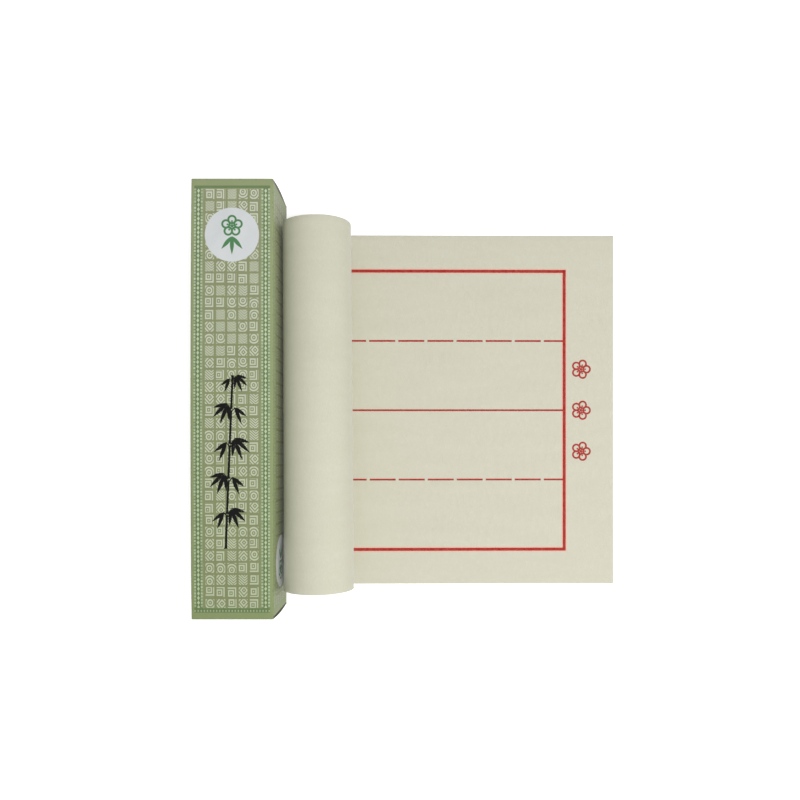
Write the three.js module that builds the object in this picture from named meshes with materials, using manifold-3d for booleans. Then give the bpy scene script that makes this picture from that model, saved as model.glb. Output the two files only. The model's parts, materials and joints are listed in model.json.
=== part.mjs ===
// A felt mat for long brush writing, half unrolled beside the tuck-end carton that it is kept in.
// Millimetres, +Z up. The origin is the middle of the set's footprint, on the table.
// X runs along the sheet, from the carton on the left to the mat's free edge on the right.
// Y runs along the carton and the roll, and the +Y end of the carton is called its top.
import * as THREE from 'three';
import { mergeVertices } from 'three/addons/utils/BufferGeometryUtils.js';
import Module from 'manifold-3d';

// The felt mat.
const matLength = 900; // the whole sheet, laid flat
const matWidth = 300;
const feltThickness = 2;
const flatLength = 250; // from the free edge to the line where the sheet turns up into the roll
const rollDiameter = 58;
const turnGap = 0.6; // air between neighbouring turns
const bendDistance = 4; // from the roll's side to the line where the free end bends up
const bendGap = 0.3; // slit along that line
const matShift = -4; // the mat's middle from the carton's middle, along Y

// The carton, folded from one blank of thin board.
const cartonWidth = 64;
const cartonDepth = 64;
const cartonLength = 343;
const boardThickness = 0.6;
const creaseRadius = 1.2; // outside of the long creases
const creaseGap = 0.3; // between the boards that meet at a crease, and between stacked flaps
const cartonToRoll = 2.2; // the two only stand beside each other

// The glued lap that closes the tube, inside the left panel.
const lapWidth = 15;
const lapSetback = 18; // from the lap to the ends of the carton
const lapTaper = 4; // how much shorter the lap is along its free edge, at each end

// The end closures: a lid with a tuck tongue, over two dust flaps.
const lidSideGap = 0.4; // from the lid's edges to the carton's outer faces
const tuckGap = 0.4; // from the closed tuck crease to the back panel
const tongueLength = 15;
const tongueTilt = THREE.MathUtils.degToRad(12); // inward lean of the tucked tongue
const tongueSideGap = 1.4; // from the tongue's edges to the carton's inner faces
const tongueCornerRadius = 6;
const dustFlapReach = 26; // across the opening, from the crease
const dustFlapBackGap = 4; // from the flap to the back panel, where the tongue slides through
const dustFlapFrontGap = 2; // from the flap to the front panel
const dustFlapCornerRadius = 3;

// Facets.
const stepsPerHalfTurn = 20;
const stepsPerCorner = 6;

const feltColour = 0xd1d0bc;
const boardColour = 0x929d74;

const halfBoard = boardThickness / 2;
const setWidth = cartonWidth + cartonToRoll + rollDiameter / 2 + flatLength;
const cartonX = -setWidth / 2 + cartonWidth / 2;
const rollX = setWidth / 2 - flatLength;
const bendX = rollX + rollDiameter / 2 + bendDistance;

// Crease lines of the top closure, measured from the carton's middle.
const lidCreaseY = cartonLength / 2 - halfBoard;
const lidCreaseZ = cartonDepth - halfBoard;
const tongueCreaseZ = boardThickness + tuckGap + halfBoard;
const dustCreaseX = cartonWidth / 2 - halfBoard;
const dustCreaseY = cartonLength / 2 - boardThickness - creaseGap - halfBoard;

const wasm = await Module();
wasm.setup();

// A geometry with only shared positions, which is a closed body.
function closed(geometry) {
  geometry.deleteAttribute('normal');
  geometry.deleteAttribute('uv');
  return mergeVertices(geometry);
}

function toSolid(geometry) {
  const body = closed(geometry);
  const vertProperties = Float32Array.from(body.attributes.position.array);
  const triVerts = Uint32Array.from(body.index.array);
  return new wasm.Manifold(new wasm.Mesh({ numProp: 3, vertProperties, triVerts }));
}

function toGeometry(solid) {
  const mesh = solid.getMesh();
  const geometry = new THREE.BufferGeometry();
  geometry.setAttribute('position', new THREE.BufferAttribute(mesh.vertProperties, 3));
  geometry.setIndex(new THREE.BufferAttribute(mesh.triVerts, 1));
  return geometry;
}

function piece(name, geometry, color, roughness) {
  const shaded = geometry.toNonIndexed();
  shaded.computeVertexNormals();
  const mesh = new THREE.Mesh(shaded, new THREE.MeshStandardMaterial({ color, roughness, metalness: 0 }));
  mesh.name = name;
  return mesh;
}

// A shape drawn in X and Z, pushed along Y from one place to another.
function extrudeAlongY(shape, fromY, toY) {
  const geometry = new THREE.ExtrudeGeometry(shape, {
    depth: toY - fromY,
    bevelEnabled: false,
    curveSegments: stepsPerCorner,
  });
  geometry.rotateX(Math.PI / 2);
  geometry.translate(0, toY, 0);
  return geometry;
}

// A shape drawn in X and Y, thickened evenly to both sides of its plane.
function board(shape) {
  const geometry = new THREE.ExtrudeGeometry(shape, {
    depth: boardThickness,
    bevelEnabled: false,
    curveSegments: stepsPerCorner,
  });
  geometry.translate(0, 0, -halfBoard);
  return geometry;
}

// A strip of board along X that ends in a half-round crease at Y 0 and starts at a straight cut below it.
function creasedStrip(width, reach) {
  const edge = new THREE.Shape();
  edge.moveTo(-reach, -halfBoard);
  edge.lineTo(0, -halfBoard);
  edge.absarc(0, 0, halfBoard, -Math.PI / 2, Math.PI / 2, false);
  edge.lineTo(-reach, halfBoard);
  edge.closePath();
  const geometry = new THREE.ExtrudeGeometry(edge, {
    depth: width,
    bevelEnabled: false,
    curveSegments: stepsPerCorner,
  });
  geometry.translate(0, 0, -width / 2);
  geometry.rotateY(Math.PI / 2);
  geometry.rotateX(Math.PI / 2);
  return geometry;
}

// An upright rectangle with one round on three corners and another, or none, on the lower left one.
function tubeOutline(path, halfWidth, low, high, round, lowerLeftRound) {
  path.moveTo(-halfWidth + lowerLeftRound, low);
  path.lineTo(halfWidth - round, low);
  path.absarc(halfWidth - round, low + round, round, -Math.PI / 2, 0, false);
  path.lineTo(halfWidth, high - round);
  path.absarc(halfWidth - round, high - round, round, 0, Math.PI / 2, false);
  path.lineTo(-halfWidth + round, high);
  path.absarc(-halfWidth + round, high - round, round, Math.PI / 2, Math.PI, false);
  path.lineTo(-halfWidth, low + lowerLeftRound);
  if (lowerLeftRound > 0) {
    const centreX = -halfWidth + lowerLeftRound;
    path.absarc(centreX, low + lowerLeftRound, lowerLeftRound, Math.PI, 1.5 * Math.PI, false);
  }
  path.closePath();
  return path;
}

// The lap lies flat on the left panel's inner face, and its ends slope.
function glueLap() {
  const halfLength = cartonLength / 2 - lapSetback;
  const outline = new THREE.Shape([
    new THREE.Vector2(-halfLength, 0),
    new THREE.Vector2(halfLength, 0),
    new THREE.Vector2(halfLength - lapTaper, lapWidth),
    new THREE.Vector2(-halfLength + lapTaper, lapWidth),
  ]);
  const depth = boardThickness + halfBoard; // half a board deep in the panel
  const geometry = new THREE.ExtrudeGeometry(outline, { depth, bevelEnabled: false });
  geometry.rotateX(Math.PI / 2);
  geometry.rotateZ(Math.PI / 2);
  geometry.translate(-cartonWidth / 2 + halfBoard, 0, halfBoard);
  return geometry;
}

// Four panels and the lap. The front and back panels run the full length, and the side panels stop a flap's
// thickness short of it. Where a flap is hinged, the panel ends in a half-round crease.
function cartonSleeve() {
  const outer = tubeOutline(new THREE.Shape(), cartonWidth / 2, 0, cartonDepth, creaseRadius, 0);
  const innerRound = Math.max(creaseRadius - boardThickness, halfBoard);
  const innerHalf = cartonWidth / 2 - boardThickness;
  const innerHigh = cartonDepth - boardThickness;
  const inner = tubeOutline(new THREE.Path(), innerHalf, boardThickness, innerHigh, innerRound, innerRound);
  outer.holes.push(inner);
  let sleeve = toSolid(extrudeAlongY(outer, -dustCreaseY, dustCreaseY));
  sleeve = sleeve.add(toSolid(glueLap()));

  const panelWidth = cartonWidth - 2 * creaseRadius;
  const lipReach = 2 * (lidCreaseY - dustCreaseY);
  const sideHeight = cartonDepth - 2 * creaseRadius;
  for (const turn of [0, Math.PI]) {
    const frontLip = creasedStrip(panelWidth, lipReach);
    frontLip.translate(0, lidCreaseY, lidCreaseZ);
    const backLip = new THREE.BoxGeometry(panelWidth, lipReach, boardThickness);
    backLip.translate(0, cartonLength / 2 - lipReach / 2, halfBoard);
    const lips = [frontLip, backLip];
    for (const side of [-1, 1]) {
      const sideLip = creasedStrip(sideHeight, lipReach);
      sideLip.rotateY(Math.PI / 2);
      sideLip.translate(side * dustCreaseX, dustCreaseY, cartonDepth / 2);
      lips.push(sideLip);
    }
    for (const lip of lips) {
      lip.rotateZ(turn);
      sleeve = sleeve.add(toSolid(lip));
    }
  }
  return toGeometry(sleeve);
}

// The lid hangs from the front panel's crease and carries the tuck crease along its lower edge.
function lid() {
  const height = lidCreaseZ - halfBoard - creaseGap - tongueCreaseZ;
  const geometry = creasedStrip(cartonWidth - 2 * lidSideGap, height);
  geometry.rotateX(-Math.PI / 2);
  geometry.translate(0, lidCreaseY, tongueCreaseZ);
  return closed(geometry);
}

// The tongue turns in from the lid's lower edge and leans off the back panel.
function tuckTongue() {
  const half = cartonWidth / 2 - boardThickness - tongueSideGap;
  const start = halfBoard + creaseGap;
  const round = Math.min(tongueCornerRadius, tongueLength - start);
  const outline = new THREE.Shape();
  outline.moveTo(half, -start);
  outline.lineTo(-half, -start);
  outline.lineTo(-half, -tongueLength + round);
  outline.absarc(-half + round, -tongueLength + round, round, Math.PI, 1.5 * Math.PI, false);
  outline.lineTo(half - round, -tongueLength);
  outline.absarc(half - round, -tongueLength + round, round, 1.5 * Math.PI, 2 * Math.PI, false);
  outline.closePath();
  const geometry = board(outline);
  geometry.rotateX(-tongueTilt);
  geometry.translate(0, lidCreaseY, tongueCreaseZ);
  return closed(geometry);
}

// A dust flap reaches in from a side panel. Its edge beside the lid's crease slants at 45 degrees, so that
// the lid and the flap can turn together.
function dustFlap(side) {
  const start = halfBoard + creaseGap;
  const low = boardThickness + dustFlapBackGap;
  const high = cartonDepth - boardThickness - dustFlapFrontGap;
  const round = Math.min(dustFlapCornerRadius, dustFlapReach - start);
  const outline = new THREE.Shape();
  outline.moveTo(start, low);
  outline.lineTo(dustFlapReach - round, low);
  outline.absarc(dustFlapReach - round, low + round, round, -Math.PI / 2, 0, false);
  outline.lineTo(dustFlapReach, high - dustFlapReach + start);
  outline.lineTo(start, high);
  outline.closePath();
  const geometry = board(outline);
  geometry.rotateX(Math.PI / 2);
  if (side > 0) {
    geometry.rotateZ(Math.PI);
  }
  geometry.translate(side * dustCreaseX, dustCreaseY, 0);
  return closed(geometry);
}

// The top closure, or, turned half round, the bottom one.
function endClosure(end, turn) {
  const closure = new THREE.Group();
  closure.rotation.z = turn;
  closure.add(piece(`${end}_lid`, lid(), boardColour, 0.6));
  closure.add(piece(`${end}_tuck_tongue`, tuckTongue(), boardColour, 0.6));
  for (const side of [-1, 1]) {
    const hand = side * Math.cos(turn) < 0 ? 'left' : 'right';
    closure.add(piece(`${end}_dust_flap_${hand}`, dustFlap(side), boardColour, 0.6));
  }
  return closure;
}

// The wound length as half turns. Each is an arc that starts where the last one ends, half a pitch smaller,
// so the sheet stays smooth and every turn keeps the same gap to the next. The last arc ends with the felt.
function halfTurns() {
  const pitch = feltThickness + turnGap;
  const arcs = [];
  let radius = (rollDiameter - feltThickness) / 2;
  let centreZ = rollDiameter / 2;
  let angle = 1.5 * Math.PI;
  let left = matLength - flatLength;
  while (left > 0) {
    const sweep = Math.min(Math.PI, left / radius);
    arcs.push({ centreZ, radius, from: angle, to: angle - sweep });
    left -= sweep * radius;
    angle -= Math.PI;
    radius -= pitch / 2;
    centreZ += arcs.length % 2 === 1 ? pitch / 2 : -pitch / 2;
  }
  return arcs;
}

// Points along one side of the wound sheet, from the foot of the roll to the end inside it.
function windingSide(arcs, offset) {
  const points = [];
  for (const { centreZ, radius, from, to } of arcs) {
    const steps = Math.ceil(stepsPerHalfTurn * (from - to) / Math.PI);
    for (let step = points.length === 0 ? 0 : 1; step <= steps; step += 1) {
      const angle = THREE.MathUtils.lerp(from, to, step / steps);
      const reach = radius + offset;
      points.push(new THREE.Vector2(rollX + reach * Math.cos(angle), centreZ + reach * Math.sin(angle)));
    }
  }
  return points;
}

// The least distance from a point on the inner side of a turn to the outer side of any turn inside it.
function leastTurnGap(outside, inside) {
  let least = Infinity;
  inside.forEach((point, index) => {
    for (let other = index + stepsPerHalfTurn; other < outside.length; other += 1) {
      least = Math.min(least, point.distanceTo(outside[other]));
    }
  });
  return least;
}

// The rolled part of the sheet, printed side in, with the flat foot that it stands on.
function matRoll() {
  const arcs = halfTurns();
  const outside = windingSide(arcs, feltThickness / 2);
  const inside = windingSide(arcs, -feltThickness / 2);
  console.log(`least gap between turns: ${leastTurnGap(outside, inside).toFixed(2)} mm`);
  const footX = bendX - bendGap / 2;
  const outline = new THREE.Shape([
    new THREE.Vector2(footX, 0),
    ...outside,
    ...inside.reverse(),
    new THREE.Vector2(footX, feltThickness),
  ]);
  return closed(extrudeAlongY(outline, -matWidth / 2, matWidth / 2));
}

// The flat part of the sheet, printed side up, from the bend to the free edge.
function matFreeEnd() {
  const start = bendX + bendGap / 2;
  const end = rollX + flatLength;
  const geometry = new THREE.BoxGeometry(end - start, matWidth, feltThickness);
  geometry.translate((start + end) / 2, 0, feltThickness / 2);
  return closed(geometry);
}

const carton = new THREE.Group();
carton.position.x = cartonX;
carton.add(piece('carton_sleeve', cartonSleeve(), boardColour, 0.6));
carton.add(endClosure('top', 0));
carton.add(endClosure('bottom', Math.PI));

const mat = new THREE.Group();
mat.position.y = matShift;
mat.add(piece('mat_roll', matRoll(), feltColour, 0.95));
mat.add(piece('mat_free_end', matFreeEnd(), feltColour, 0.95));

const feltMatSet = new THREE.Group();
feltMatSet.add(carton, mat);

export default feltMatSet;
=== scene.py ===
"""A ruled felt mat, half unrolled, beside the tuck-end carton that it is kept in.

Metres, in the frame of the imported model: X along the sheet, Y along the roll and the carton, Z up.
"""

import inspect
import json
import math
from contextlib import contextmanager

import bmesh
import bpy
from bpy.props import FloatProperty, FloatVectorProperty, IntProperty, PointerProperty
from mathutils import Matrix, Vector


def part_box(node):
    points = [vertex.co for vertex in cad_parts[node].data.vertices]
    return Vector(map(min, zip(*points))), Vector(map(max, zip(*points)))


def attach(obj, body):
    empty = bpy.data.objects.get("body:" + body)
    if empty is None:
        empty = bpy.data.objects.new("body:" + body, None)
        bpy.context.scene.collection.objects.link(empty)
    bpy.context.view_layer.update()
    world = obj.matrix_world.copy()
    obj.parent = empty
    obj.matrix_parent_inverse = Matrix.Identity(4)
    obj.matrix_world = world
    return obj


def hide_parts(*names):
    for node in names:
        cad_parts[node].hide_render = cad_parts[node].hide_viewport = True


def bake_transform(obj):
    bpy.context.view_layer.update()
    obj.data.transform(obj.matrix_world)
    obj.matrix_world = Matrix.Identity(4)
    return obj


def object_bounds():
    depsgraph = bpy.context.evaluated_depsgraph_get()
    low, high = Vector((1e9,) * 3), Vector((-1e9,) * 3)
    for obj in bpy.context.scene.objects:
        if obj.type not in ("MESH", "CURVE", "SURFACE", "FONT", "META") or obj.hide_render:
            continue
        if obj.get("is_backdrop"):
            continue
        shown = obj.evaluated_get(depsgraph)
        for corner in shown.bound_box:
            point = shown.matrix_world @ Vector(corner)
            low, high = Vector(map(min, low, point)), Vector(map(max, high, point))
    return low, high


bl_info = {
    "name": "Felt Mat and Carton",
    "version": (1, 0, 0),
    "blender": (4, 5, 0),
    "location": "View3D > Sidebar > Felt Mat",
    "description": "Builds a ruled felt mat, half unrolled, beside its tuck-end carton",
    "category": "Add Mesh",
}

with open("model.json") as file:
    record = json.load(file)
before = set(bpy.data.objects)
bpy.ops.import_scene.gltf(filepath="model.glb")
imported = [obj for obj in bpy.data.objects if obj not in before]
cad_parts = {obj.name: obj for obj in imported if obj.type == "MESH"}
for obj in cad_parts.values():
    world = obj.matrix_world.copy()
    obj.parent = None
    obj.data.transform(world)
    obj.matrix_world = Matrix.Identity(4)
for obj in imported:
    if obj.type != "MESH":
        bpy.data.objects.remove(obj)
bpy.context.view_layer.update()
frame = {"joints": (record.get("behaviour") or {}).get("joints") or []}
SLEEVE_LOW, SLEEVE_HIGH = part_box("carton_sleeve")
LID_LOW, LID_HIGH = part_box("top_lid")
TONGUE_LOW, TONGUE_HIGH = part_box("top_tuck_tongue")
DUST_LOW, DUST_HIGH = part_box("top_dust_flap_left")
ROLL_LOW, ROLL_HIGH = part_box("mat_roll")
END_LOW, END_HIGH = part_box("mat_free_end")
HINGE = {joint["name"]: Vector(joint.get("pos_m", (0, 0, 0))) for joint in frame["joints"]}

SHEET_MAP = "cut_sheet"
BLANK_MAP = "carton_blank"
CARTON_X = (SLEEVE_LOW.x + SLEEVE_HIGH.x) / 2

# Places closer than this are the same place.
TOUCH = 1e-6
BEVEL_ANGLE = math.radians(50)
SMOOTH_ANGLE = math.radians(40)

# A tilted span from behind the free end's hinge, clear of the roll; the sheet works out its ends but
# uses them no further.
BEND_BACK = 0.008
BEND_REACH = 0.03
BEND_TILT = math.radians(11)
# Two swells of the flat end, in radians along and across it, and their share of the lift.
RIPPLE_WAVES = ((9, 2.2), (4, 3.1))
RIPPLE_SHARE = 0.2
# Powers that keep the lift to the corners, across the sheet and along it.
CORNER_POWERS = (6, 8)
# The wound end strays as a wave of so many radians, from this phase on.
WANDER_WAVES = 13
WANDER_START = 0.6

# Cuts along the tube, across its panels and in the lap, and faces of a lid.
TUBE_CUTS = 35
PANEL_CUTS = 7
LAP_CUTS = 12
LID_COLUMNS, LID_ROWS = 12, 24
# Length of the lap's free edge as a share of its creased one.
LAP_TAPER = 0.974
TONGUE_TILT = math.radians(12)
# Share of a crease's ply that stands proud of the boards.
PLY_PROUD = 0.8

# Depth of the felt's and the board's relief.
FELT_BUMP = 0.0005
BOARD_BUMP = 0.0002
# Softness of the printed edges, and the plain rim round the field of tiles.
PRINT_BLUR = 0.00008
FIELD_GAP = 0.0004


def length(name, description, default):
    """A length in metres."""
    return FloatProperty(
        name=name, description=description, default=default, min=0.0, unit="LENGTH", precision=5
    )


def number(name, description, default, unit="NONE"):
    """A plain number, a power or a camera's length."""
    return FloatProperty(name=name, description=description, default=default, unit=unit)


def spot(name, description, *default):
    """A place in metres."""
    return FloatVectorProperty(
        name=name, description=description, default=default, subtype="TRANSLATION"
    )


def linear(level):
    """A screen level from 0 to 255 as linear light."""
    value = level / 255
    return value / 12.92 if value <= 0.04045 else ((value + 0.055) / 1.055) ** 2.4


def colour(name, description, *levels):
    """A colour given as red, green and blue screen levels."""
    default = [linear(level) for level in levels]
    return FloatVectorProperty(
        name=name, description=description, default=default, min=0.0, max=1.0, subtype="COLOR"
    )


class SheetProperties(bpy.types.PropertyGroup):
    """The felt sheet"""

    cut_length: length("Cut Length", "Length of the whole sheet, laid flat", 0.9)
    cut_width: length("Cut Width", "Width of the sheet", END_HIGH.y - END_LOW.y)
    thickness: length("Thickness", "Thickness of the felt", END_HIGH.z - END_LOW.z)
    roll_diameter: length("Roll Diameter", "Outside of the roll", ROLL_HIGH.z - ROLL_LOW.z)
    turn_gap: length("Turn Gap", "Air between neighbouring turns of the roll", 0.0006)
    end_wander: length("End Wander", "How far the inner turns stray along the roll", 0.0014)
    end_taper: length("End Taper", "How far each side of the free end draws in", 0.0006)
    end_lean: length("End Lean", "Sideways shift of the turns on the roll's right", 0.0008)
    roll_skew: length("Roll Skew", "How far each end of the roll stands askew", 0.0009)
    roll_taper: length("Roll Taper", "How much smaller the roll's radius is at its top end", 0.0004)
    corner_lift: length("Corner Lift", "How far the free corners stand off the table", 0.0009)
    edge_round: length("Edge Round", "Softness of the cut edges", 0.0004)
    columns: IntProperty(name="Columns", description="Faces along the sheet", default=360, min=60)
    rows: IntProperty(name="Rows", description="Faces across the sheet", default=60, min=4)
    pale: colour("Pale Felt", "Felt where its fibres lie loose", 218, 216, 198)
    deep: colour("Deep Felt", "Felt where its fibres lie close", 209, 206, 187)
    back_pale: colour("Pale Back", "Back of the felt where its fibres lie loose", 213, 212, 194)
    back_deep: colour("Deep Back", "Back of the felt where its fibres lie close", 203, 202, 181)


class RulingProperties(bpy.types.PropertyGroup):
    """The ruling printed on the felt"""

    frame_half_width: length("Frame Half Width", "Sheet's middle to the frame's long lines", 0.1198)
    frame_inset: length("Frame Inset", "Sheet's end to the frame's end line", 0.0423)
    frame_line: length("Frame Line", "Width of the frame's lines", 0.0026)
    guide_line: length("Guide Line", "Width of the lines inside the frame", 0.0016)
    guide_spacing: length("Guide Spacing", "Middle line to the dashed lines", 0.0597)
    dash_pitch: length("Dash Pitch", "Start of one dash to the start of the next", 0.025)
    dash_gap: length("Dash Gap", "Gap between dashes", 0.0026)
    first_dash: length("First Dash", "Length of the dash beside the frame's end line", 0.0175)
    bleed: length("Bleed", "How far the ink creeps along the fibres", 0.00022)
    mark_inset: length("Mark Inset", "Sheet's end to the middle of the blossom marks", 0.0279)
    mark_spacing: length("Mark Spacing", "One blossom mark to the next", 0.0354)
    mark_radius: length("Mark Radius", "Middle of a blossom mark to its petal tips", 0.0082)
    print_shift: length("Print Shift", "How far the print sits below the sheet's middle", 0.0006)
    stain_width: length("Stain Width", "How far thinned ink soaks out of the frame's lines", 0.002)
    ink: colour("Ink", "Red printing ink", 170, 2, 2)
    stain: colour("Stain", "Felt stained by thinned ink", 230, 193, 174)


class CartonProperties(bpy.types.PropertyGroup):
    """The carton and its end flaps"""

    width: length("Width", "Outside width and depth", SLEEVE_HIGH.x - SLEEVE_LOW.x)
    length: length("Length", "Outside length of the front panel", SLEEVE_HIGH.y - SLEEVE_LOW.y)
    board: length("Board", "Thickness of the board", LID_HIGH.y - LID_LOW.y)
    crease_radius: length("Crease Radius", "Outside radius of the long creases", 0.0012)
    side_setback: length("Side Setback", "Front panel's end to the side panels' ends", 0.0018)
    crease_slit: length("Crease Slit", "Crease line to the start of the flap", 0.00032)
    crease_ply: length("Crease Ply", "Thickness of the ply that runs across a crease", 0.0001)
    crease_reach: length("Crease Reach", "Crease line to the edges of that ply", 0.0012)
    front_bow: length("Front Bow", "How far the front panel swells in its middle", 0.0003)
    side_bow: length("Side Bow", "How far the side panels swell in their middle", 0.0006)
    crease_bow: length("Crease Bow", "How far the left creases stand out in their middle", 0.0008)
    top_bow: length("Top Bow", "How far the top lid bulges", 0.0021)
    bottom_bow: length("Bottom Bow", "How far the bottom lid bulges", 0.0014)
    lap_width: length("Lap Width", "Width of the glued lap", 0.015)
    lap_setback: length("Lap Setback", "Lap's ends to the carton's ends", 0.018)
    tongue_round: length("Tongue Round", "Corner radius of the tuck tongues", 0.006)
    dust_round: length("Dust Flap Round", "Corner radius of the dust flaps", 0.003)
    edge_round: length("Edge Round", "Softness of the board's cut edges", 0.00015)


class PrintProperties(bpy.types.PropertyGroup):
    """The print on the carton"""

    side_border: length("Side Border", "Plain border along the long creases", 0.0026)
    end_border: length("End Border", "Plain border at the panel ends", 0.0054)
    end_line: length("End Line", "Width of the dark line at the top end", 0.002)
    foot_line: length("Foot Line", "Width of the dark line at the bottom end", 0.0033)
    band_width: length("Band Width", "Width of the patterned side bands", 0.0066)
    dot_pitch: length("Dot Pitch", "One dot of the side bands to the next", 0.0024)
    lozenge_pitch: length("Lozenge Pitch", "One lozenge of the side bands to the next", 0.0036)
    column_pitch: length("Column Pitch", "One tile of the field to the next, across", 0.00858)
    row_pitch: length("Row Pitch", "One tile of the field to the next, along", 0.00938)
    tile_width: length("Tile Width", "Width of a tile", 0.0068)
    tile_length: length("Tile Length", "Length of a tile", 0.0077)
    disc_inset: length("Disc Inset", "Panel's end to the middle of the white disc", 0.0436)
    disc_shift: length("Disc Shift", "How much nearer the end the side panels' discs are", 0.0018)
    disc_radius: length("Disc Radius", "Radius of the white disc", 0.021)
    olive: colour("Olive", "Borders and flaps", 152, 163, 121)
    field: colour("Field", "Ground of the field of tiles", 145, 151, 115)
    dark_green: colour("Dark Green", "Lines and side bands", 115, 135, 93)
    pale_green: colour("Pale Green", "Tiles of the field", 205, 210, 191)
    trim_green: colour("Trim Green", "Dots and lozenges of the side bands", 201, 213, 184)
    # Painted shade: this colour darkens the print towards the carton's bottom end.
    lower_tint: colour("Lower Tint", "Tint of the print at its bottom end", 226, 231, 215)
    disc_white: colour("Disc White", "White disc", 214, 217, 217)
    disc_green: colour("Disc Green", "Sprig in the white disc", 82, 134, 88)
    brush_black: colour("Brush Black", "Brushed bamboo", 12, 12, 11)
    inside: colour("Inside", "Bare board inside the carton", 168, 164, 153)
    # Painted shade: the cut edges are darker than the board really is, so the slits at the carton's
    # ends show dark; worn spots take this colour too.
    cut_edge: colour("Cut Edge", "Cut edges of the board", 108, 104, 94)


class StageProperties(bpy.types.PropertyGroup):
    """Floor, light and camera"""

    floor_size: length("Floor Size", "Side of the floor", 6.0)
    floor_drop: length("Floor Drop", "Gap that keeps the floor clear of the felt", 0.0003)
    floor: colour("Floor", "Floor", 232, 232, 232)
    floor_glow: number("Floor Glow", "White that the camera sees added to the floor", 0.63)
    sky_strength: number("Sky Strength", "Light from all round", 0.45)
    key_power: number("Key Power", "Power of the overhead lamp", 9.45, "POWER")
    key_size: length("Key Size", "Side of the overhead lamp", 0.4)
    key_place: spot("Key Place", "Place of the overhead lamp", 0.31, -0.31, 1.2)
    fill_power: number("Fill Power", "Power of the side lamp", 1.7, "POWER")
    fill_size: length("Fill Size", "Side of the side lamp", 0.7)
    fill_place: spot("Fill Place", "Place of the side lamp", 1.1, -0.3, 0.55)
    camera_place: spot("Camera Place", "Camera, which looks straight down", -0.0023, -0.0474, 0.65)
    lens: number("Lens", "Focal length of the camera", 33.9, "CAMERA")
    sensor: number("Sensor", "Width of the camera's sensor", 36.0, "CAMERA")
    shift_x: number("Shift X", "Sideways shift of the picture, by its width", -0.0125)
    shift_y: number("Shift Y", "Upward shift of the picture, by its width", 0.075)


class FeltMatProperties(bpy.types.PropertyGroup):
    """All sizes and colours of the set"""

    sheet: PointerProperty(type=SheetProperties, name="Sheet", description="The felt sheet")
    ruling: PointerProperty(type=RulingProperties, name="Ruling", description="The ruling")
    carton: PointerProperty(type=CartonProperties, name="Carton", description="The carton")
    print: PointerProperty(type=PrintProperties, name="Print", description="The print")
    stage: PointerProperty(type=StageProperties, name="Stage", description="The stage")


# Modelling helpers.


def named(name, scale):
    """The primitive that was just added, scaled, with its place moved into its mesh."""
    piece = bpy.context.object
    piece.name = name
    piece.data.name = name
    piece.scale = scale
    bpy.ops.object.transform_apply(location=True, rotation=True, scale=True)
    return piece


def add_skin(name, size, place, turn=(0, 0, 0), columns=1, rows=1):
    """A flat grid of faces without thickness."""
    bpy.ops.object.select_all(action="DESELECT")
    bpy.ops.mesh.primitive_grid_add(
        x_subdivisions=columns,
        y_subdivisions=rows,
        size=1,
        calc_uvs=False,
        location=place,
        rotation=turn,
    )
    return named(name, (*size, 1))


def make_active(piece):
    bpy.ops.object.select_all(action="DESELECT")
    piece.select_set(True)
    bpy.context.view_layer.objects.active = piece


@contextmanager
def edit_mode(piece):
    """Edit mode on one piece, with nothing selected."""
    make_active(piece)
    bpy.ops.object.mode_set(mode="EDIT")
    bpy.ops.mesh.select_all(action="DESELECT")
    yield
    bpy.ops.object.mode_set(mode="OBJECT")


def pick(piece, kind, test):
    """Selects, in edit mode, the verts, edges or faces that pass the test, and nothing else."""
    bpy.ops.mesh.select_mode(type={"verts": "VERT", "edges": "EDGE", "faces": "FACE"}[kind])
    bpy.ops.mesh.select_all(action="DESELECT")
    mesh = bmesh.from_edit_mesh(piece.data)
    for element in getattr(mesh, kind):
        if test(element):
            element.select_set(True)
    mesh.select_flush_mode()
    bmesh.update_edit_mesh(piece.data)


def runs_along(edge, axis):
    """True for an edge that is parallel to the X, Y or Z axis, given as 0, 1 or 2."""
    step = edge.verts[1].co - edge.verts[0].co
    return abs(step[axis]) > 0.999 * step.length


def write_map(piece, name, place):
    """A UV map in metres, where place gives u and v for a point and its face."""
    layer = piece.data.uv_layers.new(name=name)
    for face in piece.data.polygons:
        for corner in face.loop_indices:
            point = piece.data.vertices[piece.data.loops[corner].vertex_index].co
            layer.data[corner].uv = place(point, face)


def thicken(piece, thickness, offset, edge_round, materials):
    """Gives a skin its thickness. Outer face, inner face and cut edge take the three materials."""
    make_active(piece)
    for material in materials:
        piece.data.materials.append(material)
    solidify = piece.modifiers.new("Thickness", "SOLIDIFY")
    solidify.thickness = thickness
    solidify.offset = offset
    solidify.use_even_offset = True
    solidify.material_offset = 1
    solidify.material_offset_rim = 2
    bevel = piece.modifiers.new("Soft Edges", "BEVEL")
    bevel.width = edge_round
    bevel.segments = 2
    bevel.limit_method = "ANGLE"
    bevel.angle_limit = BEVEL_ANGLE
    bpy.ops.object.modifier_apply(modifier=solidify.name)
    bpy.ops.object.modifier_apply(modifier=bevel.name)
    bpy.ops.object.shade_smooth_by_angle(angle=SMOOTH_ANGLE)


# Node helpers.


class Signal:
    """An output socket to reckon with like a number. Each step adds a math node to its tree."""

    def __init__(self, socket):
        self.socket = socket

    def __add__(self, other):
        return reckon("ADD", self, other)

    def __sub__(self, other):
        return reckon("SUBTRACT", self, other)

    def __rsub__(self, other):
        return reckon("SUBTRACT", other, self)

    def __mul__(self, other):
        return reckon("MULTIPLY", self, other)

    def __truediv__(self, other):
        return reckon("DIVIDE", self, other)

    def __abs__(self):
        return reckon("ABSOLUTE", self)

    def times_plus(self, factor, term, clamp=False):
        """This times the factor, plus the term."""
        return reckon("MULTIPLY_ADD", self, factor, term, clamp=clamp)


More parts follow.
